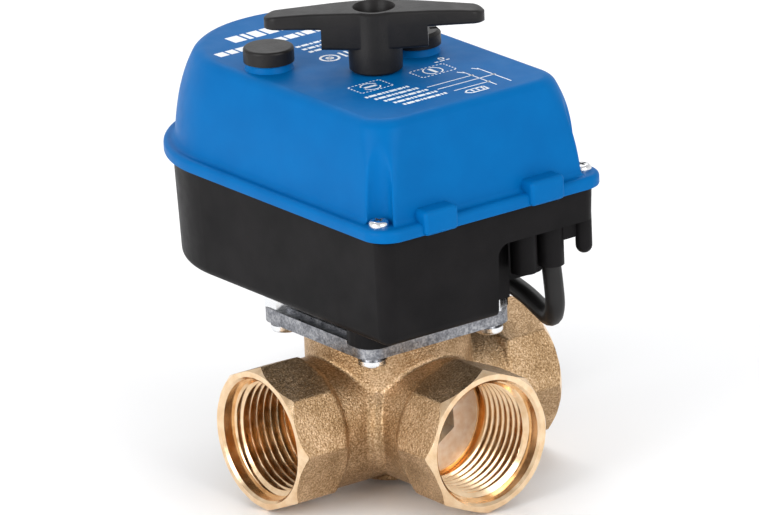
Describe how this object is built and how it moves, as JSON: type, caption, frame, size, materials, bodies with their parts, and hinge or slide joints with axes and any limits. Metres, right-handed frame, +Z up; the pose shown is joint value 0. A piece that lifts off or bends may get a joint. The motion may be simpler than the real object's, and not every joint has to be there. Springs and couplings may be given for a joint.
{
  "type": "motorised three-way zone valve",
  "caption": "Forged brass three-way ball valve with female threaded ports, driven by a rotary electric actuator with a T-handle, push button, selector knob and fixed cable.",
  "frame": {"origin": "where the stem axis meets the flat boss under the valve body", "axes": "+Z up the stem towards the handle, -Y out of the branch port, -X and +X out of the two run ports"},
  "size_m": [0.1315, 0.1393, 0.1342],
  "materials": {
    "forged_brass": "sand-blasted forging with machined mouths",
    "machined_brass": "turned",
    "polished_ball": "polished",
    "ptfe": "carbon-filled, smooth",
    "black_rubber": "matt",
    "cast_zinc": "die-cast",
    "zinc_screw": "bright zinc",
    "black_housing": "fine-grained moulding",
    "blue_cover": "fine-grained moulding",
    "black_knob": "fine-grained moulding",
    "sheet_steel": "pressed and plated",
    "bright_steel": "ground",
    "black_steel": "blackened",
    "white_acetal": "moulded",
    "switch_body": "moulded",
    "board_green": "solder mask",
    "terminal_grey": "moulded",
    "cable_sheath": "smooth sheath",
    "core_insulation": "extruded",
    "tinned_copper": "crimped"
  },
  "bodies": {
    "root": {"actuator_base": "black_housing", "actuator_cover": "blue_cover", "ball_seat_branch": "ptfe", "ball_seat_run_left": "ptfe", "ball_seat_run_right": "ptfe", "board_posts": "white_acetal", "button_spring": "bright_steel", "cable": "cable_sheath", "cable_coil": "cable_sheath", "cable_cores": "core_insulation", "cable_gland": "black_rubber", "circuit_board": "board_green", "core_ferrules": "tinned_copper", "cover_gasket": "black_rubber", "cover_screws": "zinc_screw", "gearbox_pillars": "sheet_steel", "gearbox_screws": "zinc_screw", "idler_axle": "bright_steel", "limit_switches": "switch_body", "lower_bush": "white_acetal", "lower_gear_plate": "sheet_steel", "motor": "sheet_steel", "mounting_plate": "cast_zinc", "pad_screws": "zinc_screw", "plate_screws": "zinc_screw", "plate_spacers": "zinc_screw", "release_switch": "switch_body", "seat_retainer": "machined_brass", "selector_switch": "switch_body", "shaft_seal": "black_rubber", "terminal_block": "terminal_grey", "terminal_screws": "zinc_screw", "thrust_washer": "ptfe", "upper_gear_plate": "sheet_steel", "valve_body": "forged_brass"},
    "drive_line": {"ball": "polished_ball", "stem": "machined_brass", "stem_o_rings": "black_rubber", "output_shaft": "bright_steel", "output_gear": "machined_brass", "limit_cams": "white_acetal", "handle": "black_knob", "handle_screw": "black_steel"},
    "idler": {"idler_gear": "white_acetal"},
    "rotor": {"motor_pinion": "bright_steel"},
    "button": {"button_cap": "black_knob", "button_plunger": "bright_steel", "button_clip": "bright_steel"},
    "selector": {"selector_knob": "black_knob", "selector_shaft": "white_acetal"}
  },
  "joints": [
    {"name": "stem_turn", "type": "hinge", "parent": "root", "child": "drive_line", "pos_m": [0, 0, 0.0189], "axis": [0, 0, 1], "range_deg": [-90, 0]},
    {"name": "idler_spin", "type": "hinge", "parent": "root", "child": "idler", "pos_m": [0, 0.024, 0.0789], "axis": [0, 0, 1], "range_deg": [-0.5, 198.5]},
    {"name": "rotor_spin", "type": "hinge", "parent": "root", "child": "rotor", "pos_m": [0, 0.039, 0.0739], "axis": [0, 0, 1], "range_deg": [-594.5, 0.5]},
    {"name": "button_press", "type": "slide", "parent": "root", "child": "button", "axis": [0, 0, -1], "range_m": [0, 0.0016], "stiffness_N_per_m": 250, "springref_m": -0.004, "deforming": ["button_spring"]},
    {"name": "selector_turn", "type": "hinge", "parent": "root", "child": "selector", "pos_m": [0.018, 0.006, 0.1179], "axis": [0, 0, 1], "range_deg": [-90, 0]}
  ],
  "couplings": [
    {"joint": "idler_spin", "follows": "stem_turn", "ratio": -2.2},
    {"joint": "rotor_spin", "follows": "stem_turn", "ratio": 6.6}
  ]
}
